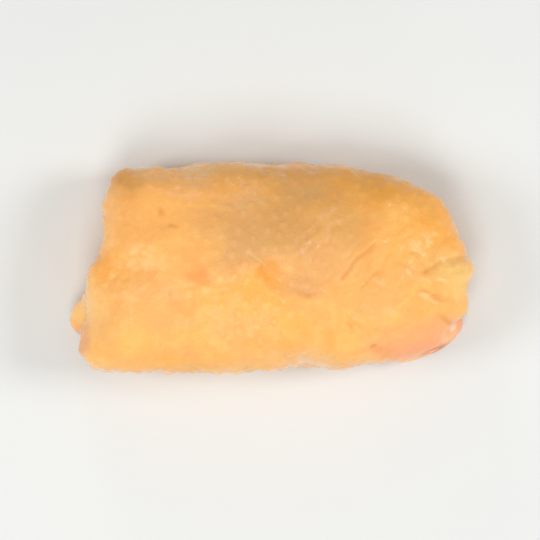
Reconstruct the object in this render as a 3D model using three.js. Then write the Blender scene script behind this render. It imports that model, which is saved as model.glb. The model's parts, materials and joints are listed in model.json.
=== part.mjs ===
// A raw chicken thigh with its skin on, lying skin side up, as it is laid in a tray.
// Two pieces: the thigh meat, and the skin that is drawn over it and tucked under nearly all round.
// The skin is creased at the knee end, and at two places on the side it stops short and the meat shows.
// Millimetres, +Z up, +X along the thigh towards the knee end, +Y to its far side. The table is z = 0.
import * as THREE from "three";

// Driving dimensions. Angles are in degrees round the outline, from +X towards +Y.
const reach = { knee: 53.2, hip: 51.2, far: 29, near: 29.3 }; // from the middle to the outline, each way
const squareness = { kneeFar: 3.1, hipFar: 14, hipNear: 9, kneeNear: 4 }; // corners: 2 is an ellipse
const easedSquareness = 2.7; // what the corners ease off to, towards the top and the table
const hipLean = { slope: 0.14, from: 40 }; // the hip end slants across the thigh, growing over this length
const thighHeight = 35;
const kneeDrop = { fall: 5, from: -5, to: 55 }; // the top falls away towards the knee end
const widestHeight = 13; // level at which the outline is widest
const undercut = 7; // the side draws in by this much on its way down to the table
const dome = { flatness: 2.8, fullness: 2.2 }; // exponents of the rounded top
const lobeReach = 4; // exponent with which lobes and corners die out towards the middle of the top
const lobeLoss = 0.7; // share of lobes and corners that is lost on the way down to the table
const skinThickness = 2;
const skinGap = { top: 0.4, under: 1, from: 1, to: 1.5 }; // clearance to the meat, widening down the side
const tuck = { length: 8, ripple: 2.2, waves: [3, 5], phases: [0.6, 2.1] }; // skin folded under, uneven edge
const meatFloor = 0.4; // the bare meat underneath stays this far off the table
const floorStep = 10; // length of the underside that one station past the side covers

// Bulges and nicks of the outline, where the flesh swells or the skin is pulled in.
const outlineLobes = [
  { at: -1, spread: 7, rise: 0.9 }, // knee end, drawn to a blunt tip
  { at: 17, spread: 9, rise: -2.3 },
  { at: 86, spread: 9, rise: -1.2 }, // shallow waist on the far side
  { at: 108, spread: 12, rise: 0.5 },
  { at: 141, spread: 6, rise: -1.0 },
  { at: 168, spread: 7, rise: -0.9 },
  { at: 189, spread: 9, rise: 1.3 }, // hip end above the tongue
  { at: 208, spread: 6, rise: 1.2 }, // hip corner on the near side
  { at: 224, spread: 9, rise: -0.7 },
  { at: 262, spread: 10, rise: -1.2 },
  { at: 291, spread: 14, rise: -3.6 }, // nick where the near edge is gathered
  { at: 308, spread: 8, rise: -2.4 },
  { at: 328, spread: 12, rise: -4.8 }, // skin stops short of the meat here
];

// Swellings of muscle and hollows between them, seen from above.
const swellings = [
  { at: [-12, 7], size: [26, 15], rise: 1.6 }, // main muscle
  { at: [37, 1], size: [14, 16], rise: 1.1 }, // muscle at the knee end
  { at: [22, 3], size: [6, 15], rise: -1.3 }, // hollow between the two
  { at: [-38, -14], size: [12, 11], rise: 1.2 }, // hip corner on the near side
  { at: [-43, 17], size: [10, 9], rise: 0.9 }, // hip corner on the far side
  { at: [8, -6], size: [9, 5], rise: -0.9 },
  { at: [1, -19], size: [26, 6], rise: 0.7 }, // fat under the near edge
  { at: [3, 24], size: [5, 12], rise: -0.8 }, // dip that runs in from the far waist
];

// Creases of the skin, each a groove with a raised lip along one side.
const creaseLip = { offset: 2, width: 1.4 }; // in widths of the groove
const reliefLimit = -1.4; // no groove is deeper, so that the skin keeps some thickness
const reliefEnd = { from: 1, to: 1.8 }; // stations over which the relief dies out down the side
const creases = [
  { from: [57, 5], to: [39, -1], depth: 1.3, lip: 0.9, width: 1.8 },
  { from: [38, -4.5], to: [52, -9.5], depth: 0.5, lip: 0.4, width: 2.2 },
  { from: [43, -12], to: [54, -16], depth: 0.7, lip: 0.5, width: 2 },
  { from: [22, -7], to: [30, 1.5], depth: 0.9, lip: 0.6, width: 1.6 },
  { from: [16, -4], to: [28, 8], depth: 0.8, lip: 0.5, width: 1.6 },
  { from: [18, -12], to: [24, -18], depth: 0.8, lip: 0.6, width: 1.7 },
  { from: [9, -20], to: [14, -33], depth: 0.8, lip: 0.6, width: 2.6 },
  { from: [-30, -23], to: [-36, -33], depth: 0.8, lip: 0.7, width: 2.2 },
  { from: [-45, 6], to: [-56, 3], depth: 1.0, lip: 0.8, width: 2.4 },
];

// Soft unevenness of the skin over its fat.
const ripples = { height: 0.3, waves: [[0.21, 0.34, 0.4], [-0.37, 0.23, 1.9], [0.11, -0.52, 3.1]] };

// Places where the skin ends part way down the side and the meat bulges out from under it.
// Each is at its full size within one angle of its middle and has ended at another.
const bareMeat = [
  { at: 334, full: 4, ends: 54, edge: 1.05, bulge: 11.2 }, // knee corner on the near side
  { at: 205, full: 1, ends: 24, edge: 1.42, bulge: 6.4 }, // hip corner on the near side
];
const bulgeFalloff = 1.9; // exponent that ends the bulge sooner than the gap in the skin
const roll = { start: 1.5, sag: 1.35 }; // exponents: the bulge drops clear of the skin, then swells low down
const floorStation = 2.2; // the bare side has reached the underside here

// Seams between the muscles on the underside.
const seams = [
  { from: [-34, 3], to: [30, 1], depth: 1.6, width: 5 },
  { from: [10, -6], to: [40, -17], depth: 1.4, width: 4.5 },
];

// A tongue of skin and fat that is squeezed out low on the hip end.
const tongue = { across: -12, spread: 5.5, out: 7.4, station: 1.54, thickness: 0.3, grooveDepth: 1.0 };

// Mesh density
const columnCount = 116;
const outlineSamples = 720;
const topStations = 16;
const sideShares = [0.06, 0.12, 0.18, 0.24, 0.3, 0.36, 0.42, 0.49, 0.58, 0.72, 0.87, 0.96];
const innerTopStations = [0.15, 0.32, 0.5, 0.67, 0.84, 1];
const innerSideShares = [0.25, 0.5, 0.75, 0.93];
const openingStart = 0.13; // stations past the skin's edge, where the meat begins to come out from under it
const openingLength = 0.95;
const openingShares = [0.1, 0.22, 0.35, 0.5, 0.66, 0.83, 1];
const undersideScales = [0.76, 0.5, 0.25];
const edgeRounding = 0.14; // stations over which the skin's edge is rounded off

const halfLength = (reach.knee + reach.hip) / 2;
const halfWidth = (reach.far + reach.near) / 2;
const { degToRad, lerp, smoothstep: fade } = THREE.MathUtils;
const bell = (distance, spread) => Math.exp(-((distance / spread) ** 2));
const plateau = (distance, spread) => Math.exp(-((distance / spread) ** 4));
const degreesApart = (a, b) => ((((a - b) % 360) + 540) % 360) - 180;

// Outline seen from above, with a share of its lobes and of its corners' squareness
function outlinePoint(degrees, lobeShare) {
  const along = Math.cos(degToRad(degrees));
  const across = Math.sin(degToRad(degrees));
  const end = along > 0 ? "knee" : "hip";
  const side = across > 0 ? "far" : "near";
  const corner = lerp(easedSquareness, squareness[end + (side === "far" ? "Far" : "Near")], lobeShare);
  const powers = Math.abs(along / reach[end]) ** corner + Math.abs(across / reach[side]) ** corner;
  const lobes = outlineLobes.map((lobe) => lobe.rise * bell(degreesApart(degrees, lobe.at), lobe.spread));
  const radius = powers ** (-1 / corner) + lobeShare * lobes.reduce((sum, rise) => sum + rise, 0);
  const point = new THREE.Vector3(radius * along, radius * across, 0);
  const leaning = Math.min(1, Math.max(0, -point.x / hipLean.from)) ** 2;
  point.x += hipLean.slope * point.y * leaning;
  return point;
}

// Columns evenly spaced round the outline, each with its point there and its point on the eased outline.
function makeColumns() {
  const step = 360 / outlineSamples;
  const samples = Array.from({ length: outlineSamples }, (_, i) => outlinePoint(i * step, 1));
  const curve = new THREE.CatmullRomCurve3(samples, true);
  curve.arcLengthDivisions = outlineSamples;
  return Array.from({ length: columnCount }, (_, i) => {
    const degrees = 360 * curve.getUtoTmapping(i / columnCount);
    return { degrees, lobed: outlinePoint(degrees, 1), smooth: outlinePoint(degrees, 0) };
  });
}

// Moves a point of the outline towards the middle, by the same distance at the ends and along the sides.
function drawIn(point, distance) {
  return new THREE.Vector3(point.x * (1 - distance / halfLength), point.y * (1 - distance / halfWidth), 0);
}

function crownHeight(x, y) {
  const level = thighHeight - kneeDrop.fall * fade(x, kneeDrop.from, kneeDrop.to);
  return swellings.reduce(
    (sum, { at, size, rise }) => sum + rise * bell(x - at[0], size[0]) * bell(y - at[1], size[1]),
    level,
  );
}

// A place on the thigh. Station runs 0 to 1 from the top's middle to the widest level, on to 2 down the side,
// and past 2 along the underside. Inset moves it towards the middle, lift away from the rounded surface.
function place(column, station, inset, lift = inset) {
  const { lobed, smooth } = column;
  if (station <= 1) {
    const turn = (station * Math.PI) / 2;
    const ring = Math.sin(turn) ** (2 / dome.flatness);
    const { x, y } = drawIn(smooth.clone().lerp(lobed, ring ** lobeReach), inset).multiplyScalar(ring);
    const rise = Math.cos(turn) ** (2 / dome.fullness);
    return new THREE.Vector3(x, y, widestHeight + (crownHeight(x, y) - lift - widestHeight) * rise);
  }
  const turn = (Math.min(station - 1, 1) * Math.PI) / 2;
  const under = undercut * (1 - Math.cos(turn)) + Math.max(station - 2, 0) * floorStep;
  const point = drawIn(lobed.clone().lerp(smooth, lobeLoss * fade(station, 1, floorStation)), inset + under);
  point.z = widestHeight * (1 - Math.sin(turn)) + lift * Math.sin(turn);
  return point;
}

// Where a point lies beside a stroke: its offset to the left, and how much of the stroke's strength it gets.
function besideStroke({ from, to, width }, x, y) {
  const start = new THREE.Vector2(...from);
  const along = new THREE.Vector2(...to).sub(start);
  const length = along.length();
  along.normalize();
  const arm = new THREE.Vector2(x, y).sub(start);
  const position = arm.dot(along);
  const strength = fade(position, -width, width) * (1 - fade(position, length - width, length + width));
  return { offset: along.cross(arm), strength };
}

// How far the skin stands out from its mean surface, from its creases, lips and ripples.
function skinRelief(x, y) {
  let relief = 0;
  for (const [kx, ky, phase] of ripples.waves) relief += ripples.height * Math.sin(kx * x + ky * y + phase);
  for (const crease of creases) {
    const { offset, strength } = besideStroke(crease, x, y);
    const { depth, lip, width } = crease;
    const raised = lip * bell(offset - creaseLip.offset * width, creaseLip.width * width);
    relief += strength * (raised - depth * bell(offset, width));
  }
  return Math.max(relief, reliefLimit);
}

// How far the seams between the muscles rise into the underside.
function seamRise(x, y) {
  return seams.reduce((rise, seam) => {
    const { offset, strength } = besideStroke(seam, x, y);
    return Math.max(rise, strength * seam.depth * bell(offset, seam.width));
  }, 0);
}

function bareShare(column, { at, full, ends }) {
  return 1 - fade(Math.abs(degreesApart(column.degrees, at)), full, ends);
}

// Station at which the skin ends
function skinEdge(column) {
  const angle = degToRad(column.degrees);
  const uneven = tuck.waves.reduce((sum, wave, i) => sum + Math.sin(wave * angle + tuck.phases[i]), 0);
  const tucked = 2 + (tuck.length + (tuck.ripple * uneven) / tuck.waves.length) / floorStep;
  return bareMeat.reduce((edge, bare) => lerp(edge, bare.edge, bareShare(column, bare)), tucked);
}

function tongueOut(column, station) {
  if (column.lobed.x > 0) return 0;
  const across = plateau(column.lobed.y - tongue.across, tongue.spread);
  const groove = tongue.grooveDepth * bell(station - tongue.station + 2 * tongue.thickness, tongue.thickness);
  return across * (tongue.out * bell(station - tongue.station, tongue.thickness) - groove);
}

function outerSkin(column, station) {
  const flat = place(column, station, 0);
  const standsOut = skinRelief(flat.x, flat.y) * (1 - fade(station, reliefEnd.from, reliefEnd.to));
  const edge = skinEdge(column);
  const rounded = (skinThickness / 2) * fade(station, edge - edgeRounding, edge);
  return place(column, station, rounded - standsOut - tongueOut(column, station), rounded - standsOut);
}

const innerSkin = (column, station) => place(column, station, skinThickness);

function meatDepth(station) {
  return skinThickness + lerp(skinGap.top, skinGap.under, fade(station, skinGap.from, skinGap.to));
}

const coveredMeat = (column, station) => place(column, station, meatDepth(station));

// Meat past the skin's edge, from share 0 under the skin to share 1 just off the table.
// Where the skin stops short it comes out in a round roll.
function openMeat(column, share) {
  const start = skinEdge(column) + openingStart;
  const covered = coveredMeat(column, start);
  const lying = place(column, Math.max(floorStation, start + openingLength), 0, meatFloor);
  const bulge = bareMeat.reduce((sum, bare) => sum + bare.bulge * bareShare(column, bare) ** bulgeFalloff, 0);
  const point = covered.lerp(lying, (1 - Math.cos(share * Math.PI)) / 2);
  return drawIn(point, -bulge * Math.sin(share ** roll.sag * Math.PI) ** roll.start).setZ(point.z);
}

// A closed surface through rings of points, with a single point at each end.
function loft(firstPole, rings, lastPole) {
  const points = [firstPole, ...rings.flat(), lastPole];
  const corner = (ring, column) => 1 + ring * columnCount + (column % columnCount);
  const triangles = [];
  for (let column = 0; column < columnCount; column++) {
    triangles.push(0, corner(0, column), corner(0, column + 1));
    for (let ring = 0; ring + 1 < rings.length; ring++) {
      const near = corner(ring, column);
      const nearNext = corner(ring, column + 1);
      const outer = corner(ring + 1, column);
      const outerNext = corner(ring + 1, column + 1);
      triangles.push(near, outer, outerNext, near, outerNext, nearNext);
    }
    triangles.push(corner(rings.length - 1, column), points.length - 1, corner(rings.length - 1, column + 1));
  }
  const geometry = new THREE.BufferGeometry().setFromPoints(points).setIndex(triangles);
  geometry.computeVertexNormals();
  return geometry;
}

const columns = makeColumns();
const ringAt = (surface, stationOf) => columns.map((column) => surface(column, stationOf(column)));
const alongSkin = (share) => (column) => 1 + (skinEdge(column) - 1) * share;

function makeSkin() {
  const rings = [];
  for (let i = 1; i <= topStations; i++) rings.push(ringAt(outerSkin, () => i / topStations));
  for (const share of [...sideShares, 1]) rings.push(ringAt(outerSkin, alongSkin(share)));
  for (const share of innerSideShares.toReversed()) rings.push(ringAt(innerSkin, alongSkin(share)));
  for (const station of innerTopStations.toReversed()) rings.push(ringAt(innerSkin, () => station));
  return loft(outerSkin(columns[0], 0), rings, innerSkin(columns[0], 0));
}

function makeMeat() {
  const rings = [];
  for (const station of innerTopStations) rings.push(ringAt(coveredMeat, () => station));
  for (const share of innerSideShares) rings.push(ringAt(coveredMeat, alongSkin(share)));
  rings.push(ringAt(coveredMeat, (column) => skinEdge(column) + openingStart));
  for (const share of openingShares) rings.push(ringAt(openMeat, () => share));
  const floorRing = rings.at(-1);
  const onFloor = (x, y) => new THREE.Vector3(x, y, meatFloor + seamRise(x, y));
  for (const scale of undersideScales) rings.push(floorRing.map(({ x, y }) => onFloor(x * scale, y * scale)));
  return loft(coveredMeat(columns[0], 0), rings, onFloor(0, 0));
}

const thigh = new THREE.Group();
const pieces = {
  skin: [makeSkin(), new THREE.MeshStandardMaterial({ color: 0xf0b065, roughness: 0.45, metalness: 0 })],
  meat: [makeMeat(), new THREE.MeshStandardMaterial({ color: 0xd9826a, roughness: 0.35, metalness: 0 })],
};
for (const [name, [geometry, material]] of Object.entries(pieces)) {
  const mesh = new THREE.Mesh(geometry, material);
  mesh.name = name;
  thigh.add(mesh);
}

// The origin is under the middle of the whole thigh, on the table.
const middle = new THREE.Box3().setFromObject(thigh, true).getCenter(new THREE.Vector3());
thigh.position.set(-middle.x, -middle.y, 0);

export default thigh;
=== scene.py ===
import json
import math
import random

import bpy
import numpy as np
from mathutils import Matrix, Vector, noise
from mathutils.bvhtree import BVHTree
from mathutils.kdtree import KDTree

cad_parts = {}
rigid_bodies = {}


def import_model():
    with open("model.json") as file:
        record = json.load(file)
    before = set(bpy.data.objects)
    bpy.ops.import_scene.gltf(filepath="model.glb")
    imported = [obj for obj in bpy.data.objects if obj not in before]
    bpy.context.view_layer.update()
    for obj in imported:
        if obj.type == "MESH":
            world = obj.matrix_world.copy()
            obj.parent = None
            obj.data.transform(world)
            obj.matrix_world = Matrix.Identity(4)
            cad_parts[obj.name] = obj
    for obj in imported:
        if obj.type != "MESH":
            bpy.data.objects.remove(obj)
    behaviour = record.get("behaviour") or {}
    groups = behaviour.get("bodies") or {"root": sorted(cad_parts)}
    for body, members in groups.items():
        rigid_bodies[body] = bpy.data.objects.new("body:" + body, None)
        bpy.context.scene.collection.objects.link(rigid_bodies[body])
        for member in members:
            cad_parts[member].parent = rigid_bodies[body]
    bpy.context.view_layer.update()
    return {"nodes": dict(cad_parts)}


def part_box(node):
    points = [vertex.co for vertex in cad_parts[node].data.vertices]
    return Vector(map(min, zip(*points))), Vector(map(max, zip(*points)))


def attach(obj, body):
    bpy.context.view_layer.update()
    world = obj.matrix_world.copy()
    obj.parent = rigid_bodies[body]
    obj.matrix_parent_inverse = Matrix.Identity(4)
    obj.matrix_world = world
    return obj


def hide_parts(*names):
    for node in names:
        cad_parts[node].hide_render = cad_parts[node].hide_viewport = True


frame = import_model()
mm = 0.001
pictureMiddle = (1.65, -0.05)  # places seen from above are in millimetres from this point of the frame
seedStep = 17.3  # how far the noise of one seed is moved from the next one's
print("solids loaded:", ", ".join(sorted(frame["nodes"])))


# Working on a piece

meshing = {
    "weld": 0.01 * mm,  # vertices closer than this become one
    "poleRings": 3,  # rings of faces round a pole's grid that are smoothed with it
    "poleSmoothing": {"factor": 0.5, "repeat": 30},
    "quadAngle": math.radians(70),  # up to this angle two triangles become a quad
}


def selectOnly(piece):
    bpy.ops.object.select_all(action="DESELECT")
    piece.select_set(True)
    bpy.context.view_layer.objects.active = piece


def applyModifier(piece, kind, **settings):
    modifier = piece.modifiers.new(kind, kind)
    for name, value in settings.items():
        setattr(modifier, name, value)
    selectOnly(piece)
    bpy.ops.object.modifier_apply(modifier=modifier.name)


def copyOfNode(node, name):
    piece = bpy.data.objects.new(name, frame["nodes"][node].data.copy())
    bpy.context.scene.collection.objects.link(piece)
    piece.data.materials.clear()
    selectOnly(piece)
    bpy.ops.mesh.customdata_custom_splitnormals_clear()
    bpy.ops.object.mode_set(mode="EDIT")
    bpy.ops.mesh.select_all(action="SELECT")
    bpy.ops.mesh.remove_doubles(threshold=meshing["weld"])
    bpy.ops.object.mode_set(mode="OBJECT")
    return piece


# The fan of thin triangles round a pole gives way to a grid of quads. A piece has two poles, the vertices
# with the most edges, and the one nearer to the given height is taken
def gridOverPole(piece, height):
    ends = np.empty(len(piece.data.edges) * 2, dtype=np.int32)
    piece.data.edges.foreach_get("vertices", ends)
    poles = [int(index) for index in np.argsort(np.bincount(ends))[-2:]]
    pole = min(poles, key=lambda index: abs(piece.data.vertices[index].co.z - height))
    selectOnly(piece)
    bpy.ops.object.mode_set(mode="EDIT")
    bpy.ops.mesh.select_mode(type="VERT")
    bpy.ops.mesh.select_all(action="DESELECT")
    bpy.ops.object.mode_set(mode="OBJECT")
    piece.data.vertices[pole].select = True
    bpy.ops.object.mode_set(mode="EDIT")
    bpy.ops.mesh.select_more()
    bpy.ops.mesh.delete(type="FACE")
    bpy.ops.mesh.select_non_manifold(
        extend=False, use_wire=False, use_boundary=True, use_multi_face=False,
        use_non_contiguous=False, use_verts=False)
    bpy.ops.object.mode_set(mode="OBJECT")
    ringCount = sum(vertex.select for vertex in piece.data.vertices)
    bpy.ops.object.mode_set(mode="EDIT")
    bpy.ops.mesh.fill_grid(span=ringCount // 4)  # a quarter of the ring on each side of the grid
    for _ in range(meshing["poleRings"]):
        bpy.ops.mesh.select_more()
    bpy.ops.mesh.vertices_smooth(**meshing["poleSmoothing"])
    bpy.ops.object.mode_set(mode="OBJECT")


def toSmoothQuads(piece, levels):
    angle = meshing["quadAngle"]
    selectOnly(piece)
    bpy.ops.object.mode_set(mode="EDIT")
    bpy.ops.mesh.select_all(action="SELECT")
    bpy.ops.mesh.tris_convert_to_quads(face_threshold=angle, shape_threshold=angle)
    bpy.ops.mesh.normals_make_consistent(inside=False)
    bpy.ops.object.mode_set(mode="OBJECT")
    applyModifier(piece, "SUBSURF", levels=levels, render_levels=levels)
    bpy.ops.object.shade_smooth()


# Points and normals of a piece, one row for each vertex
def readSurface(piece):
    count = len(piece.data.vertices)
    points = np.empty(count * 3)
    normals = np.empty(count * 3)
    piece.data.vertices.foreach_get("co", points)
    piece.data.vertices.foreach_get("normal", normals)
    return points.reshape(-1, 3), normals.reshape(-1, 3)


def writePoints(piece, points):
    piece.data.vertices.foreach_set("co", points.ravel())
    piece.data.update()


def pushOut(piece, amounts):
    points, normals = readSurface(piece)
    writePoints(piece, points + normals * amounts[:, None])


def keepAboveFloor(piece, clear):
    points, _ = readSurface(piece)
    points[:, 2] = np.maximum(points[:, 2], clear)
    writePoints(piece, points)


def paint(piece, name, values):
    layer = piece.data.attributes.new(name, "FLOAT", "POINT")
    layer.data.foreach_set("value", np.asarray(values, dtype=np.float32))


def smoothstep(values, low, high):
    share = np.clip((values - low) / (high - low), 0, 1)
    return share * share * (3 - 2 * share)


def noiseOver(points, size, seed, stretch=(1, 1, 1)):
    scaled = points / (np.array(stretch) * size) + seedStep * seed
    return np.array([noise.noise(Vector(row)) for row in scaled])


def distanceTo(node, points):
    mesh = frame["nodes"][node].data
    corners = [vertex.co for vertex in mesh.vertices]
    tree = BVHTree.FromPolygons(corners, [face.vertices for face in mesh.polygons])
    return np.array([tree.find_nearest(point)[3] for point in points])


def treeOf(points):
    tree = KDTree(len(points))
    for number, point in enumerate(points):
        tree.insert(point, number)
    tree.balance()
    return tree


def fromAbove(x, y):
    return ((x + pictureMiddle[0]) * mm, (y + pictureMiddle[1]) * mm)


# How far each point lies from a path seen from above, on which side of it, and how strong the path is there
def besidePath(points, path, fadeLength):
    distance = np.full(len(points), np.inf)
    side = np.zeros(len(points))
    strength = np.zeros(len(points))
    legs = list(zip(path, path[1:]))
    total = sum(math.dist(start, end) for start, end in legs)
    walked = 0.0
    for start, end in legs:
        length = math.dist(start, end)
        along = (np.array(end) - np.array(start)) / length
        arm = points - np.array(start)
        position = np.clip(arm @ along, 0, length)
        offset = arm - position[:, None] * along
        nearer = np.hypot(offset[:, 0], offset[:, 1])
        closest = nearer < distance
        distance = np.where(closest, nearer, distance)
        side = np.where(closest, along[0] * arm[:, 1] - along[1] * arm[:, 0], side)
        reached = walked + position
        ends = smoothstep(reached, 0, fadeLength) * smoothstep(total - reached, 0, fadeLength)
        strength = np.where(closest, ends, strength)
        walked += length
    return distance, np.sign(side), strength


# Skin

skin = {
    "levels": 2,
    "middle": (0, 0, 14 * mm),  # the outer face looks away from here
    "facing": (-0.05, 0.3),  # from the inner face to the outer one, by how squarely it looks away
    "overMeat": (1.3 * mm, 2.0 * mm),  # the outer face lies farther from the meat than the inner one
    "overMeatLeast": 1.5 * mm,  # no crease goes nearer to the meat, as the inner face is in between
    "floorClear": 0.05 * mm,
    "floorFade": (0.6 * mm, 4 * mm),  # the relief dies out towards the table
    "low": (4 * mm, 14 * mm),  # the side below this has another tint
    "flat": (0.15, 0.8),  # upward part of the normal, from steep skin to flat
    "upper": (0.0, 0.3),  # the same, from the widest level upwards, which keeps the painted shade of the far edge on the top
    "overhang": (-0.1, 0.4),  # downward part of the normal, from the widest level down
    "lumps": {"size": 15 * mm, "height": 0.5 * mm, "seed": 2},
    "fat": {"size": 5.2 * mm, "height": 0.2 * mm, "seed": 5},
    "swell": {"at": (9.5, -25), "size": 6 * mm, "height": 1.2 * mm},  # softens the dip in the near edge
    # loose folds that hang down the side, with sharp valleys between them, and last the pleats at the hem
    "folds": [
        {"size": 20 * mm, "height": 1.8 * mm, "seed": 7, "hang": (1, 1, 1.5)},
        {"size": 9 * mm, "height": 1.5 * mm, "seed": 8, "hang": (1, 1, 3)},
        {"size": 4 * mm, "height": 0.5 * mm, "seed": 9, "hang": (1, 1, 3)},
        {"size": 2.2 * mm, "height": 0.15 * mm, "seed": 10, "hang": (1, 1, 2.5)},
        {"size": 6 * mm, "height": 2.0 * mm, "seed": 15, "hang": (1, 1, 7), "below": (4 * mm, 12 * mm)},
    ],
    "foldMean": 0.22,  # mean swing of the noise, so that the folds rise and sink alike
    "foldGain": 2,  # brings the swing to about the full height
    "foldEnd": (1 * mm, 6 * mm),
    "foldsOnTop": 0.5,  # share of the folds' height above the widest level
    "rim": {
        "outer": (0.15, 0.85),  # the edge is where the outer face turns into the inner one
        "lowest": (2 * mm, 5 * mm), "over": 4 * mm, "thinning": 0.35 * mm,
        "ragged": 0.45 * mm, "size": 3.2 * mm, "seed": 14,
    },
    "follicles": {
        "seed": 21, "leastOuter": 0.6, "lowest": 2 * mm,
        "spacing": 3.8 * mm, "crowding": (0.8, 1.0),  # share of the spacing that two of them keep
        "radius": (0.85 * mm, 1.2 * mm), "height": (0.2 * mm, 0.45 * mm),
        "pit": {"depth": 0.3, "radius": 0.35},  # shares of the follicle's own height and radius
        "tracts": {"size": 24 * mm, "seed": 22, "limits": (-0.35, 0.35), "least": 0.6},
        "steeper": 0.3,  # share by which they are taller on the sides
    },
    # creases that show, each a path seen from above in millimetres, with a lip to one side of it
    "creases": [
        {"path": [(39, -1), (45, 2), (50, 3.4), (57, 5)], "width": 0.8, "depth": 0.3, "lip": -0.15},
        {"path": [(37.5, -4.6), (43.8, -7.4), (50, -8.4)], "width": 0.9, "depth": 0.3, "lip": -0.2},
        {"path": [(43, -12), (47, -13.6), (53, -16)], "width": 0.9, "depth": 0.35, "lip": 0.2},
        {"path": [(22, -6.5), (26, -2.6), (30, 1)], "width": 0.7, "depth": 0.3, "lip": 0.15},
        {"path": [(16.5, -3.4), (22, 2.6), (28, 8)], "width": 0.7, "depth": 0.3, "lip": 0.15},
        {"path": [(18.5, -12.6), (23, -17)], "width": 0.8, "depth": 0.3, "lip": 0.15},
        {"path": [(3, -5), (8, -6.6), (13, -6)], "width": 1.3, "depth": 0.3, "lip": 0.1},
        {"path": [(-47, 5), (-54, 3)], "width": 1.2, "depth": 0.3, "lip": 0.2},
    ],
    # families of fine wrinkles: the part of the skin they cross, their direction and their sizes
    "wrinkles": {
        "bend": 0.25,  # share of half a wrinkle's length
        "lip": 0.5,  # share of its depth
        "families": [
            {"seed": 41, "count": 26, "from": (8, -17), "to": (38, 14), "turn": 45, "spread": 14,
             "length": (5, 13), "width": (0.5, 0.8), "depth": (0.08, 0.2)},
            {"seed": 42, "count": 16, "from": (10, -18), "to": (40, 8), "turn": -40, "spread": 16,
             "length": (4, 9), "width": (0.5, 0.7), "depth": (0.06, 0.15)},
            {"seed": 43, "count": 18, "from": (-46, -22), "to": (6, 20), "turn": 20, "spread": 40,
             "length": (5, 12), "width": (0.5, 0.8), "depth": (0.05, 0.14)},
            {"seed": 44, "count": 14, "from": (-34, -29), "to": (26, -20), "turn": 85, "spread": 18,
             "length": (4, 9), "width": (0.6, 0.9), "depth": (0.1, 0.22)},
        ],
    },
    # skin gathered towards the knee: folds that spread from one place, each within its share of the turn
    "gathers": {
        "seed": 45, "count": 13, "at": (38, -2), "start": (4, 9), "turns": (-75, 62), "within": (0.1, 0.9),
        "length": (7, 14), "width": (0.8, 1.3), "depth": (0.08, 0.22), "lip": 0.6,
    },
    # how far a crease, wrinkle or gather reaches, fades out and has its lip, in widths of its groove
    "groove": {"reach": 5, "fade": 4, "lipAway": 2, "lipWidth": 1.2},
    "warp": {"size": 7 * mm, "reach": 1.1 * mm, "seeds": (11, 12)},  # makes them waver
}


def makeSkin(settings):
    piece = copyOfNode("skin", "skin_over_fat")
    gridOverPole(piece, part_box("skin")[1].z)
    toSmoothQuads(piece, settings["levels"])
    points, normals = readSurface(piece)
    outwards = points - np.array(settings["middle"])
    outwards = outwards / np.linalg.norm(outwards, axis=1)[:, None]
    outer = smoothstep(np.sum(outwards * normals, axis=1), *settings["facing"])
    overMeat = distanceTo("meat", points)
    outer = np.maximum(outer, smoothstep(overMeat, *settings["overMeat"]))
    steep = 1 - smoothstep(normals[:, 2], *settings["flat"])
    onTop = settings["foldsOnTop"]
    hanging = onTop + (1 - onTop) * smoothstep(-normals[:, 2], *settings["overhang"])

    relief = np.zeros(len(points))
    for layer in (settings["lumps"], settings["fat"]):
        relief += layer["height"] * noiseOver(points, layer["size"], layer["seed"])
    relief += steep * hanging * hangingFolds(points, settings)
    relief += swelling(points, settings["swell"])
    grooves, shadedCreases = foldedSkin(points, settings)
    bump, pore = follicles(points, outer, settings["follicles"])
    bump *= 1 + settings["follicles"]["steeper"] * steep
    fade = outer * smoothstep(points[:, 2], *settings["floorFade"])
    edge = frayedRim(piece, outer, settings["rim"])
    relief = np.maximum(relief + grooves, settings["overMeatLeast"] - overMeat) + bump
    pushOut(piece, relief * fade * (1 - edge))
    keepAboveFloor(piece, settings["floorClear"])
    layers = {
        "outer": outer,
        "steep": steep,
        "low": 1 - smoothstep(points[:, 2], *settings["low"]),
        "upper": smoothstep(normals[:, 2], *settings["upper"]),
        "pore": pore,
        # depth of the creases, wrinkles and gathers, darkened in the finish as painted shade
        "crease": shadedCreases,
        "edge": edge,
    }
    for name, values in layers.items():
        paint(piece, name, values)
    return piece


# Folds of loose skin: a noise turned up on both sides of its zero lines, which become the valleys
def hangingFolds(points, settings):
    relief = np.zeros(len(points))
    for fold in settings["folds"]:
        swing = np.abs(noiseOver(points, fold["size"], fold["seed"], fold["hang"]))
        height = fold["height"] * settings["foldGain"] * (swing - settings["foldMean"])
        if "below" in fold:
            height *= 1 - smoothstep(points[:, 2], *fold["below"])
        relief += height
    return relief * smoothstep(points[:, 2], *settings["foldEnd"])


def swelling(points, settings):
    away = np.linalg.norm(points[:, :2] - np.array(fromAbove(*settings["at"])), axis=1)
    return settings["height"] * np.exp(-(away / settings["size"]) ** 2)
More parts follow.
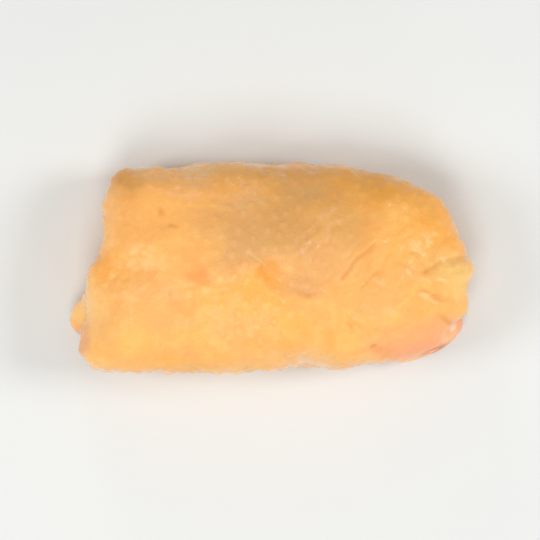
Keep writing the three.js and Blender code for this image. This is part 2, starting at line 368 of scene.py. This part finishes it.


# Creases, wrinkles and gathers: how far they move the skin, and how much of a crease each point lies in,
# which the finish darkens as painted shade
def foldedSkin(points, settings):
    warp = settings["warp"]
    drift = [warp["reach"] * noiseOver(points, warp["size"], seed) for seed in warp["seeds"]]
    warped = points[:, :2] + np.stack(drift, axis=1)
    wrinkles = scatteredWrinkles(settings["wrinkles"])
    strokes = settings["creases"] + wrinkles + gatheredFolds(settings["gathers"])
    form = settings["groove"]
    relief = np.zeros(len(points))
    shadedCreases = np.zeros(len(points))
    for stroke in strokes:
        path = [fromAbove(x, y) for x, y in stroke["path"]]
        width = stroke["width"] * mm
        ends = np.array(path)
        reach = form["reach"] * width
        near = np.all((warped > ends.min(axis=0) - reach) & (warped < ends.max(axis=0) + reach), axis=1)
        distance, side, strength = besidePath(warped[near], path, form["fade"] * width)
        groove = strength * np.exp(-(distance / width) ** 2)
        fromLip = (distance - form["lipAway"] * width) / (form["lipWidth"] * width)
        ridge = strength * np.exp(-fromLip ** 2) * (side == math.copysign(1.0, stroke["lip"]))
        relief[near] += abs(stroke["lip"]) * mm * ridge - stroke["depth"] * mm * groove
        shadedCreases[near] = np.maximum(shadedCreases[near], groove * stroke["depth"])
    return relief, shadedCreases


def scatteredWrinkles(settings):
    strokes = []
    for family in settings["families"]:
        draw = random.Random(family["seed"])
        for _ in range(family["count"]):
            x, y = (draw.uniform(low, high) for low, high in zip(family["from"], family["to"]))
            turn = math.radians(draw.gauss(family["turn"], family["spread"]))
            half = draw.uniform(*family["length"]) / 2
            bend = draw.uniform(-settings["bend"], settings["bend"]) * half
            along = (math.cos(turn), math.sin(turn))
            path = [
                (x + step * half * along[0] - sag * along[1], y + step * half * along[1] + sag * along[0])
                for step, sag in ((-1, 0), (0, bend), (1, 0))
            ]
            depth = draw.uniform(*family["depth"])
            width = draw.uniform(*family["width"])
            strokes.append({"path": path, "width": width, "depth": depth, "lip": depth * settings["lip"]})
    return strokes


def gatheredFolds(settings):
    draw = random.Random(settings["seed"])
    low, high = settings["turns"]
    x, y = settings["at"]
    strokes = []
    for number in range(settings["count"]):
        place = number + draw.uniform(*settings["within"])
        turn = math.radians(low + (high - low) * place / settings["count"])
        start = draw.uniform(*settings["start"])
        end = start + draw.uniform(*settings["length"])
        path = [(x + reach * math.cos(turn), y + reach * math.sin(turn)) for reach in (start, end)]
        depth = draw.uniform(*settings["depth"])
        width = draw.uniform(*settings["width"])
        strokes.append({"path": path, "width": width, "depth": depth, "lip": depth * settings["lip"]})
    return strokes


# Places for the follicles, spread over the skin so that no two are closer than their spacing
def spreadFollicles(points, outer, settings, draw):
    free = (outer > settings["leastOuter"]) & (points[:, 2] > settings["lowest"])
    order = [int(index) for index in np.flatnonzero(free)]
    cell = settings["spacing"]
    taken = {}
    chosen = []
    draw.shuffle(order)
    for index in order:
        key = tuple(np.floor(points[index] / cell).astype(int))
        spacing = cell * draw.uniform(*settings["crowding"])
        near = [
            other
            for dx in (-1, 0, 1) for dy in (-1, 0, 1) for dz in (-1, 0, 1)
            for other in taken.get((key[0] + dx, key[1] + dy, key[2] + dz), ())
        ]
        if all(math.dist(points[index], points[other]) > spacing for other in near):
            taken.setdefault(key, []).append(index)
            chosen.append(index)
    print("follicles:", len(chosen))
    return chosen


# How far the follicles raise the skin, and how much of one each point lies on
def follicles(points, outer, settings):
    draw = random.Random(settings["seed"])
    chosen = spreadFollicles(points, outer, settings, draw)
    tree = treeOf(points[chosen])
    radii = [draw.uniform(*settings["radius"]) for _ in chosen]
    heights = [draw.uniform(*settings["height"]) for _ in chosen]
    tracts = settings["tracts"]
    raised = smoothstep(noiseOver(points, tracts["size"], tracts["seed"]), *tracts["limits"])
    raised = tracts["least"] + (1 - tracts["least"]) * raised
    pit = settings["pit"]
    bump = np.zeros(len(points))
    pore = np.zeros(len(points))
    for index, point in enumerate(points):
        _, number, distance = tree.find(point)
        dome = math.exp(-(distance / radii[number]) ** 2)
        hollow = pit["depth"] * math.exp(-(distance / (pit["radius"] * radii[number])) ** 2)
        bump[index] = heights[number] * (dome - hollow)
        pore[index] = dome
    return bump * raised, pore * raised


# Where the skin stops short of the table its edge is thin and frayed
def frayedRim(piece, outer, settings):
    points, normals = readSurface(piece)
    least, most = settings["outer"]
    rim = np.flatnonzero((outer > least) & (outer < most) & (points[:, 2] > settings["lowest"][0]))
    tree = treeOf(points[rim])
    distance = np.array([tree.find(point)[2] for point in points])
    near = (1 - smoothstep(distance, 0, settings["over"])) * smoothstep(points[:, 2], *settings["lowest"])
    points = points - normals * (settings["thinning"] * near * outer)[:, None]
    points[:, 2] += settings["ragged"] * near * noiseOver(points, settings["size"], settings["seed"])
    writePoints(piece, points)
    return near


# Meat

meat = {
    "levels": 2,
    "floorClear": 0.2 * mm,
    "breadth": 0.55,  # share of the thigh's length
    "turnLength": 45,  # millimetres along the rim for each radian round the thigh
    "squeeze": 1.4,  # the fibres at the side are finer upwards
    "under": (0.5, 0.9),  # downward part of the normal, from the side to the underside
    "underSkin": {"facing": (0.3, 0.8), "height": (9 * mm, 12 * mm)},  # facing up at this height: smooth
    "lumps": {"size": 10 * mm, "height": 0.5 * mm, "seed": 31},
    "bundles": {"size": 3.4 * mm, "height": 0.8 * mm, "seed": 33, "stretch": (5, 1, 1)},
    "fibres": {"size": 1.5 * mm, "height": 0.3 * mm, "seed": 35, "stretch": (7, 1, 1)},
    "sink": 0.05 * mm,  # bare meat is drawn in by this
}


def makeMeat(settings):
    piece = copyOfNode("meat", "bare_meat")
    gridOverPole(piece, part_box("meat")[0].z)
    toSmoothQuads(piece, settings["levels"])
    points, normals = readSurface(piece)
    # fibres follow the rim on the side, and run the length of the thigh underneath
    across = points[:, 1] / settings["breadth"]
    along = np.arctan2(points[:, 0], -across) * settings["turnLength"] * mm
    radius = np.hypot(points[:, 0], across)
    around = np.stack([along, radius, points[:, 2] * settings["squeeze"]], axis=1)
    under = smoothstep(-normals[:, 2], *settings["under"])
    flow = np.where(under[:, None] > 0.5, points, around)
    lumps = settings["lumps"]
    relief = lumps["height"] * noiseOver(points, lumps["size"], lumps["seed"])
    grain = {}
    for name in ("bundles", "fibres"):
        layer = settings[name]
        beside = noiseOver(around, layer["size"], layer["seed"], layer["stretch"])
        below = noiseOver(points, layer["size"], layer["seed"], layer["stretch"])
        grain[name] = beside * (1 - under) + below * under
        relief = relief + layer["height"] * grain[name]
    hidden = settings["underSkin"]
    covered = smoothstep(normals[:, 2], *hidden["facing"]) * smoothstep(points[:, 2], *hidden["height"])
    pushOut(piece, (relief - settings["sink"]) * (1 - covered))
    keepAboveFloor(piece, settings["floorClear"])
    for name, values in grain.items():
        paint(piece, name, values)
    for name, values in zip(("flowAlong", "flowIn", "flowUp"), flow.T):
        paint(piece, name, values / mm)
    return piece


# Shader maths, written as expressions on sockets

class Socket:
    def __init__(self, tree, out=None):
        self.tree = tree
        self.out = out

    def node(self, kind, settings=None, values=None, output=0):
        made = self.tree.nodes.new("ShaderNode" + kind)
        for name, value in (settings or {}).items():
            if name == "stops":
                fillRamp(made.color_ramp, value)
            else:
                setattr(made, name, value)
        for name, value in (values or {}).items():
            if isinstance(value, Socket):
                self.tree.links.new(value.out, made.inputs[name])
            else:
                made.inputs[name].default_value = value
        return Socket(self.tree, made.outputs[output])

    def maths(self, operation, first, second):
        return self.node("Math", {"operation": operation}, {0: first, 1: second})

    def __add__(self, other):
        return self.maths("ADD", self, other)

    def __sub__(self, other):
        return self.maths("SUBTRACT", self, other)

    def __mul__(self, other):
        return self.maths("MULTIPLY", self, other)

    def __rsub__(self, other):
        return self.maths("SUBTRACT", other, self)

    __radd__ = __add__
    __rmul__ = __mul__

    def between(self, low, high):
        settings = {"interpolation_type": "SMOOTHSTEP"}
        return self.node("MapRange", settings, {"Value": self, "From Min": low, "From Max": high})


def fillRamp(ramp, stops):
    while len(ramp.elements) < len(stops):
        ramp.elements.new(1.0)
    for element, (place, colour) in zip(ramp.elements, stops):
        element.position = place
        element.color = colour


# A colour as it shows on screen, 0 to 255, made linear
def tone(red, green, blue):
    def linear(value):
        share = value / 255
        return share / 12.92 if share <= 0.04045 else ((share + 0.055) / 1.055) ** 2.4
    return (linear(red), linear(green), linear(blue), 1.0)


def mixColours(start, factor, under, over, blend="MIX"):
    settings = {"data_type": "RGBA", "blend_type": blend, "clamp_factor": True}
    return start.node("Mix", settings, {0: factor, 6: under, 7: over}, output=2)  # the colours' own sockets


# A value that rises with a layer, from its least by what the layer adds
def rising(values, layer):
    least, added = values
    return least + added * layer


def noiseTexture(start, coords, settings):
    return start.node("TexNoise", None, {"Vector": coords, **settings})


def attribute(start, name):
    return start.node("Attribute", {"attribute_name": name}, output=2)  # as a single number


patchFade = (0.1, 1.25)  # a patch is full up to the first share of its size, and gone at the second


def addPatch(start, colour, coords, patch):
    spread = [1 / (size * mm) for size in patch["size"]] + [0.0]
    place = list(fromAbove(*patch["at"])) + [0.0]
    shift = [-where * share for where, share in zip(place, spread)]
    values = {"Vector": coords, "Location": shift, "Scale": spread}
    local = start.node("Mapping", {"vector_type": "POINT"}, values)
    radius = start.node("VectorMath", {"operation": "LENGTH"}, {0: local}, output=1)
    share = (1 - radius.between(*patchFade)) * patch["share"]
    if "on" in patch:
        share = share * attribute(start, patch["on"])
    return mixColours(start, share, colour, patch["colour"])


# Coordinates pushed about by a soft noise, so that patterns on them have no straight edges
def swirled(start, coords, settings):
    values = {"Vector": coords, "Scale": settings["scale"], "Detail": settings["detail"]}
    swirl = start.node("TexNoise", None, values, output=1)
    centred = start.node("VectorMath", {"operation": "SUBTRACT"}, {0: swirl, 1: (0.5, 0.5, 0.5)})
    wobble = start.node("VectorMath", {"operation": "SCALE"}, {0: centred, "Scale": settings["reach"]})
    return start.node("VectorMath", {"operation": "ADD"}, {0: coords, 1: wobble})


def newMaterial(name, constant):
    material = bpy.data.materials.new(name)
    material.use_nodes = True
    shader = material.node_tree.nodes["Principled BSDF"]
    for socket, value in constant.items():
        shader.inputs[socket].default_value = value
    return material, shader, Socket(material.node_tree)


def feed(start, shader, links):
    for name, socket in links.items():
        start.tree.links.new(socket.out, shader.inputs[name])


skinFinish = {
    "yellow": tone(254, 189, 103),
    "peach": tone(253, 181, 105),
    "fat": tone(255, 199, 114),
    "deep": tone(249, 174, 84),
    "blush": tone(250, 170, 114),
    "cream": tone(255, 208, 132),
    "inside": tone(252, 212, 156),
    "side": tone(253, 192, 108),
    # painted shade for the creases, wrinkles and gathers
    "crease": tone(214, 138, 62),
    "poreTop": (1.05, 1.07, 1.12, 1.0),  # lightens the colour under it
    "rim": tone(251, 172, 124),
    "mottle": [(0.3, (0.94, 0.91, 0.86, 1)), (0.7, (1, 1, 1, 1))],
    "noises": {
        "broad": {"Scale": 62, "Detail": 3, "Roughness": 0.55},
        "deep": {"Scale": 130, "Detail": 2, "Roughness": 0.5},
        "blotches": {"Scale": 38, "Detail": 3, "Roughness": 0.5},
        "pale": {"Scale": 57, "Detail": 3, "Roughness": 0.5},
        "fine": {"Scale": 420, "Detail": 3, "Roughness": 0.55},
        "dimples": {"Scale": 650, "Detail": 2, "Roughness": 0.5},
        "wet": {"Scale": 95, "Detail": 3, "Roughness": 0.6},
    },
    "lobules": {"Scale": 190, "Smoothness": 0.7},  # of the fat that shows through
    "cells": {"Scale": 800},  # the finest pattern of the skin
    "swirl": {"scale": 110, "detail": 1.5, "reach": 9 * mm},
    "cellSwirl": {"scale": 300, "detail": 1.5, "reach": 1.2 * mm},
    # where a layer begins and where it is full, on the noise or painted layer that it follows
    "limits": {
        "peach": (0.35, 0.65), "fat": (0.1, 0.6), "deep": (0.52, 0.72), "blotches": (0.42, 0.75),
        "pale": (0.42, 0.75), "pore": (0.2, 0.95), "crease": (0.02, 0.4), "outer": (0.2, 0.8),
        "cells": (0.0, 0.2), "wet": (0.35, 0.6),
    },
    "shares": {
        "fat": 0.45, "deep": 0.45, "side": 0.4, "mottle": 0.6, "crease": 0.5, "rim": 0.7, "cells": 0.5,
    },
    # the least of a share, and what steep skin, blotches or the fine noise add to it
    "rising": {
        "cream": (0.15, 0.45), "blush": (0.15, 0.3), "lowBlush": (0.25, 0.5),
        "wetPatches": (0.14, 0.66), "wetAll": (0.05, 0.2), "roughness": (0.36, 0.18),
    },
    "relief": {"Strength": 0.35, "Distance": 0.22 * mm},
    # places of another colour, or of painted shade or highlight, seen from above in millimetres, some on
    # one of the painted layers only
    "patches": [
        {"at": (-35, 17), "size": (17, 13), "colour": tone(255, 180, 98), "share": 0.6},
        {"at": (0, 12), "size": (26, 15), "colour": tone(206, 158, 102), "share": 0.65},
        {"at": (-10, 5.5), "size": (9, 7), "colour": tone(208, 162, 108), "share": 0.4},
        {"at": (6, -4.5), "size": (9, 3.5), "colour": tone(216, 162, 104), "share": 0.6},
        {"at": (21, 9), "size": (7, 6), "colour": tone(222, 166, 104), "share": 0.45},
        {"at": (-19, 12), "size": (6, 6), "colour": tone(226, 170, 104), "share": 0.3},
        {"at": (-36, 7), "size": (9, 5), "colour": tone(255, 180, 96), "share": 0.4},
        {"at": (28, 5), "size": (7, 6), "colour": tone(246, 174, 98), "share": 0.4},
        {"at": (12, 1), "size": (15, 9), "colour": tone(232, 176, 112), "share": 0.5},
        {"at": (14, 17), "size": (22, 9), "colour": tone(210, 150, 74), "share": 0.45},
        # painted shade: the far edge at the right, darker and more ochre on the top only
        {"at": (32, 22), "size": (17, 6), "colour": tone(212, 142, 40), "share": 0.55, "on": "upper"},
        {"at": (-26, 20), "size": (12, 7), "colour": tone(255, 184, 102), "share": 0.75},
        {"at": (-7, -7), "size": (13, 7), "colour": tone(255, 180, 78), "share": 0.65},
        {"at": (4, -16), "size": (9, 5), "colour": tone(255, 184, 84), "share": 0.5},
        {"at": (-47, 1.5), "size": (6, 7), "colour": tone(255, 166, 62), "share": 0.6},
        # painted shade: the whole far edge and the far-left corner, darker on the top only
        {"at": (8, 27), "size": (52, 6), "colour": tone(218, 148, 40), "share": 0.68, "on": "upper"},
        {"at": (-44, 26), "size": (8, 6), "colour": tone(204, 142, 62), "share": 0.7, "on": "upper"},
        {"at": (38, 12), "size": (12, 11), "colour": tone(255, 184, 88), "share": 0.6},
        {"at": (45, 12), "size": (9, 9), "colour": tone(255, 170, 62), "share": 0.5},
        {"at": (49, 7), "size": (7, 5), "colour": tone(255, 182, 78), "share": 0.6},
        {"at": (-2.8, 0.2), "size": (4, 4.6), "colour": tone(238, 156, 50), "share": 0.8},
        {"at": (-0.6, -3.4), "size": (3.2, 2.8), "colour": tone(246, 166, 70), "share": 0.45},
        {"at": (-20.6, -1), "size": (5.6, 4.4), "colour": tone(245, 154, 80), "share": 0.75},
        {"at": (43, -18.5), "size": (16, 7), "colour": tone(254, 174, 120), "share": 0.85},
        {"at": (39, -22), "size": (16, 3.5), "colour": tone(252, 160, 116), "share": 0.6},
        {"at": (30, -22.4), "size": (4, 2.6), "colour": tone(242, 156, 84), "share": 0.5},
        # painted highlight: a paler band down the left edge
        {"at": (-50, -11), "size": (5, 10), "colour": tone(255, 204, 124), "share": 0.5},
        {"at": (50, -1.5), "size": (9, 7), "colour": tone(255, 209, 126), "share": 0.75},
        {"at": (-26, -27), "size": (19, 4), "colour": tone(251, 180, 84), "share": 0.5},
        {"at": (-54.5, -21), "size": (2.6, 8), "colour": tone(226, 146, 104), "share": 0.55},
        {"at": (-56.5, -12), "size": (4, 5), "colour": tone(255, 202, 122), "share": 0.8},
        {"at": (-30.4, 15.4), "size": (1.6, 1.2), "colour": tone(218, 142, 72), "share": 0.5},
        {"at": (-27.4, 11), "size": (1.3, 1.2), "colour": tone(218, 142, 72), "share": 0.45},
        {"at": (28.4, -20.9), "size": (1.5, 1), "colour": tone(206, 132, 70), "share": 0.5},
    ],
    "constant": {
        "Subsurface Weight": 0.25, "Subsurface Radius": (1.0, 0.5, 0.25), "Subsurface Scale": 0.9 * mm,
        "Coat Roughness": 0.18, "IOR": 1.4, "Specular IOR Level": 0.35,
    },
}


def makeSkinFinish(finish):
    material, shader, start = newMaterial("moist yellow skin", finish["constant"])
    noises = finish["noises"]
    limits = finish["limits"]
    shares = finish["shares"]
    rise = finish["rising"]
    coords = start.node("TexCoord", output="Object")
    moved = swirled(start, coords, finish["swirl"])
    steep = attribute(start, "steep")

    # yellow to peach, with the fat and deeper yellow that show through, and another tint on the sides
    broad = noiseTexture(start, coords, noises["broad"])
    colour = mixColours(start, broad.between(*limits["peach"]), finish["yellow"], finish["peach"])
    lobules = start.node("TexVoronoi", {"feature": "SMOOTH_F1"}, {"Vector": moved, **finish["lobules"]})
    fat = (1 - lobules.between(*limits["fat"])) * shares["fat"]
    colour = mixColours(start, fat, colour, finish["fat"])
    deep = noiseTexture(start, moved, noises["deep"]).between(*limits["deep"])
    colour = mixColours(start, deep * shares["deep"], colour, finish["deep"])
    colour = mixColours(start, steep * shares["side"], colour, finish["side"])

    # pale and pink blotches, more of them on the sides, then the places of another colour
    blotches = noiseTexture(start, moved, noises["blotches"]).between(*limits["blotches"])
    pale = noiseTexture(start, moved, noises["pale"]).between(*limits["pale"])
    colour = mixColours(start, pale * rising(rise["cream"], steep), colour, finish["cream"])
    colour = mixColours(start, blotches * rising(rise["blush"], steep), colour, finish["blush"])
    low = attribute(start, "low") * rising(rise["lowBlush"], blotches)
    colour = mixColours(start, low, colour, finish["blush"])
    for patch in finish["patches"]:
        colour = addPatch(start, colour, moved, patch)

    # what is finer, the painted shade in the creases, and the skin's edge and inner face
    fine = noiseTexture(start, coords, noises["fine"])
    mottle = start.node("ValToRGB", {"stops": finish["mottle"]}, {0: fine})
    colour = mixColours(start, shares["mottle"], colour, mottle, "MULTIPLY")
    pore = attribute(start, "pore").between(*limits["pore"])
    colour = mixColours(start, pore, colour, finish["poreTop"], "MULTIPLY")
    # painted shade in the creases, wrinkles and gathers, by their depth
    crease = attribute(start, "crease").between(*limits["crease"])
    colour = mixColours(start, crease * shares["crease"], colour, finish["crease"])
    colour = mixColours(start, attribute(start, "edge") * shares["rim"], colour, finish["rim"])
    inside = 1 - attribute(start, "outer").between(*limits["outer"])
    colour = mixColours(start, inside, colour, finish["inside"])

    # fine cells of the skin, and softer dimples among them
    wavy = swirled(start, coords, finish["cellSwirl"])
    cells = start.node("TexVoronoi", {"feature": "DISTANCE_TO_EDGE"}, {"Vector": wavy, **finish["cells"]})
    dimples = noiseTexture(start, coords, noises["dimples"])
    height = cells.between(*limits["cells"]) * shares["cells"] + dimples
    bump = start.node("Bump", None, {"Height": height, **finish["relief"]})
    wet = noiseTexture(start, coords, noises["wet"]).between(*limits["wet"])
    feed(start, shader, {
        "Base Color": colour,
        "Roughness": rising(rise["roughness"], fine),
        "Coat Weight": wet * rising(rise["wetPatches"], steep) + rising(rise["wetAll"], steep),
        "Normal": bump,
    })
    return material


meatFinish = {
    "stops": [(0.3, tone(246, 158, 114)), (0.5, tone(252, 178, 128)), (0.7, tone(254, 198, 148))],
    "fat": tone(254, 220, 168),
    "strand": tone(236, 138, 100),
    "noises": {
        "broad": {"Scale": 70, "Detail": 3, "Roughness": 0.5},
        "streaks": {"Scale": 160, "Detail": 4, "Roughness": 0.6, "Distortion": 0.8},
        "strands": {"Scale": 1.6, "Detail": 4, "Roughness": 0.6},
    },
    "strandSqueeze": 0.06,  # width of a strand as a share of its length
    "limits": {"fat": (0.6, 0.75), "patch": (0.35, 0.6), "strand": (0.5, 0.75)},
    "shares": {"fat": 0.6, "strand": 0.4},
    # how far the fibres and bundles change the colour, and where the fat lies and the strands rise
    "grain": {"fibres": 0.18, "bundles": 0.3, "bundlesInFat": 0.35, "fibresOnStrands": 0.4},
    "rising": {"roughness": (0.26, 0.2), "wet": (0.2, 0.35)},  # the least, and what the noise adds
    "relief": {"Strength": 0.5, "Distance": 0.3 * mm},
    "patches": [
        {"at": (46.5, -22.6), "size": (7, 2.6), "colour": tone(156, 100, 90), "share": 0.95},
        {"at": (-53, -21), "size": (3, 8), "colour": tone(214, 130, 96), "share": 0.6},
    ],
    "constant": {
        "Subsurface Weight": 0.3, "Subsurface Radius": (1.0, 0.4, 0.3), "Subsurface Scale": 1.8 * mm,
        "Coat Roughness": 0.12, "IOR": 1.4,
    },
}


def makeMeatFinish(finish):
    material, shader, start = newMaterial("wet pink meat", finish["constant"])
    noises = finish["noises"]
    limits = finish["limits"]
    shares = finish["shares"]
    grain = finish["grain"]
    coords = start.node("TexCoord", output="Object")
    broad = noiseTexture(start, coords, noises["broad"])
    fibres = attribute(start, "fibres")
    bundles = attribute(start, "bundles")
    shade = grain["fibres"] * fibres + grain["bundles"] * bundles + broad
    colour = start.node("ValToRGB", {"stops": finish["stops"]}, {0: shade})
    streaks = noiseTexture(start, coords, noises["streaks"])
    fat = (streaks + grain["bundlesInFat"] * bundles).between(*limits["fat"])
    colour = mixColours(start, fat * shares["fat"], colour, finish["fat"])
    flow = start.node("CombineXYZ", None, {
        "X": attribute(start, "flowAlong") * finish["strandSqueeze"],
        "Y": attribute(start, "flowIn"),
        "Z": attribute(start, "flowUp"),
    })
    strands = noiseTexture(start, flow, noises["strands"])
    for patch in finish["patches"]:
        patched = addPatch(start, colour, coords, patch)
        colour = mixColours(start, strands.between(*limits["patch"]), colour, patched)
    strand = strands.between(*limits["strand"]) * shares["strand"]
    colour = mixColours(start, strand, colour, finish["strand"])
    height = strands + grain["fibresOnStrands"] * fibres
    bump = start.node("Bump", None, {"Height": height, **finish["relief"]})
    feed(start, shader, {
        "Base Color": colour,
        "Roughness": rising(finish["rising"]["roughness"], broad),
        "Coat Weight": rising(finish["rising"]["wet"], streaks),
        "Normal": bump,
    })
    return material


# Floor, light and camera

studio = {
    "floor": {"size": 4.0, "colour": (0.76, 0.77, 0.75, 1), "roughness": 0.7},
    "world": 0.31,
    "lights": {
        "key": {"place": (-0.08, -0.4, 0.68), "size": 0.38, "power": 2.32},
        "left": {"place": (-0.55, -0.05, 0.45), "size": 0.25, "power": 1.75},
        "right": {"place": (0.55, 0.05, 0.45), "size": 0.25, "power": 2.2},
        "back": {"place": (-0.15, 0.6, 0.16), "size": 0.18, "power": 0.5},
        "front": {"place": (0.2, -0.65, 0.18), "size": 0.14, "power": 0.3},
    },
    "lens": 200.0,
    "sensor": 36.0,
    "frameWidth": 150 * mm,  # what the picture takes in, at the height below
    "frameHeight": 18 * mm,
}


def addFloor(settings):
    bpy.ops.object.select_all(action="DESELECT")
    bpy.ops.mesh.primitive_plane_add(size=settings["size"])
    floor = bpy.context.active_object
    floor.name = "floor"
    constant = {"Base Color": settings["colour"], "Roughness": settings["roughness"]}
    material, _, _ = newMaterial("pale floor", constant)
    floor.data.materials.append(material)


def addLight(name, settings):
    bpy.ops.object.light_add(type="AREA", location=settings["place"])
    light = bpy.context.active_object
    light.name = name
    light.rotation_euler = (-Vector(settings["place"])).to_track_quat("-Z", "Y").to_euler()
    light.data.size = settings["size"]
    light.data.energy = settings["power"]


def makeStudio(settings):
    addFloor(settings["floor"])
    world = bpy.data.worlds.new("soft light")
    world.use_nodes = True
    background = world.node_tree.nodes["Background"]
    background.inputs["Color"].default_value = (1, 1, 1, 1)
    background.inputs["Strength"].default_value = settings["world"]
    bpy.context.scene.world = world
    for name, light in settings["lights"].items():
        addLight(name + "_light", light)
    distance = settings["frameWidth"] / settings["sensor"] * settings["lens"]
    bpy.ops.object.camera_add(location=(0, 0, settings["frameHeight"] + distance), rotation=(0, 0, 0))
    camera = bpy.context.active_object
    camera.data.lens = settings["lens"]
    camera.data.sensor_width = settings["sensor"]
    bpy.context.scene.camera = camera
    bpy.context.scene.view_settings.view_transform = "Standard"
    print("studio set")


def finishPiece(piece, node, material):
    piece.data.materials.append(material)
    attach(piece, "root")
    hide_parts(node)
    print(node + ":", len(piece.data.polygons), "faces")


makeStudio(studio)
finishPiece(makeSkin(skin), "skin", makeSkinFinish(skinFinish))
finishPiece(makeMeat(meat), "meat", makeMeatFinish(meatFinish))
